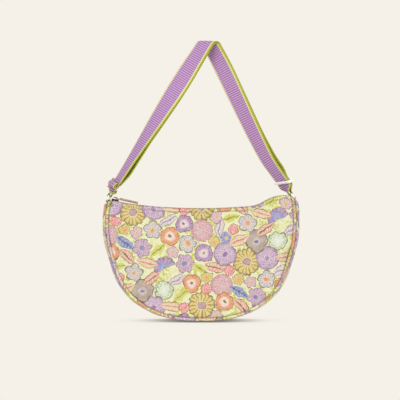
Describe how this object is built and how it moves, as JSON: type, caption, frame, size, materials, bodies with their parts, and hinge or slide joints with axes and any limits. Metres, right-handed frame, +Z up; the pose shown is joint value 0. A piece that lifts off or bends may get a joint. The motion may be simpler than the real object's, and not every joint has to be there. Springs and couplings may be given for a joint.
{
  "type": "half-moon shoulder bag",
  "caption": "Soft half-moon shoulder bag with piped seams, a zip along its concave top edge and a doubled webbing strap with an adjuster, shown hanging from the strap.",
  "frame": {"origin": "hang point: underside of the strap at the middle of its fold over a peg", "axes": "+Z up, +X to the viewer's right across the bag, +Y from the bag's front to its back"},
  "size_m": [0.3018, 0.0864, 0.431],
  "materials": {
    "printed_cotton": "printed cotton, plain weave",
    "piping_cotton": "printed cotton over cord",
    "zip_tape": "woven zip tape with nylon coil",
    "webbing": "ribbed webbing with bright edges",
    "nickel": "polished nickel plate",
    "gunmetal": "dark plated",
    "rose_pull": "satin rose plate"
  },
  "bodies": {
    "bag": {"front_panel": "printed_cotton", "back_panel": "printed_cotton", "gusset": "printed_cotton", "piping_front": "piping_cotton", "piping_back": "piping_cotton", "top_strip_front": "printed_cotton", "top_strip_back": "printed_cotton", "zip": "zip_tape", "zip_slider": "gunmetal", "tab_left": "printed_cotton", "tab_right": "printed_cotton", "ring_left": "nickel", "ring_right": "nickel", "strap": "webbing", "strap_adjuster": "nickel", "strap_keeper": "nickel"},
    "puller": {"zip_puller": "rose_pull"}
  },
  "joints": [
    {"name": "puller_hinge", "type": "hinge", "parent": "bag", "child": "puller", "pos_m": [-0.14121, 0, -0.23918], "axis": [0, -1, 0], "range_deg": [0, 70]}
  ]
}
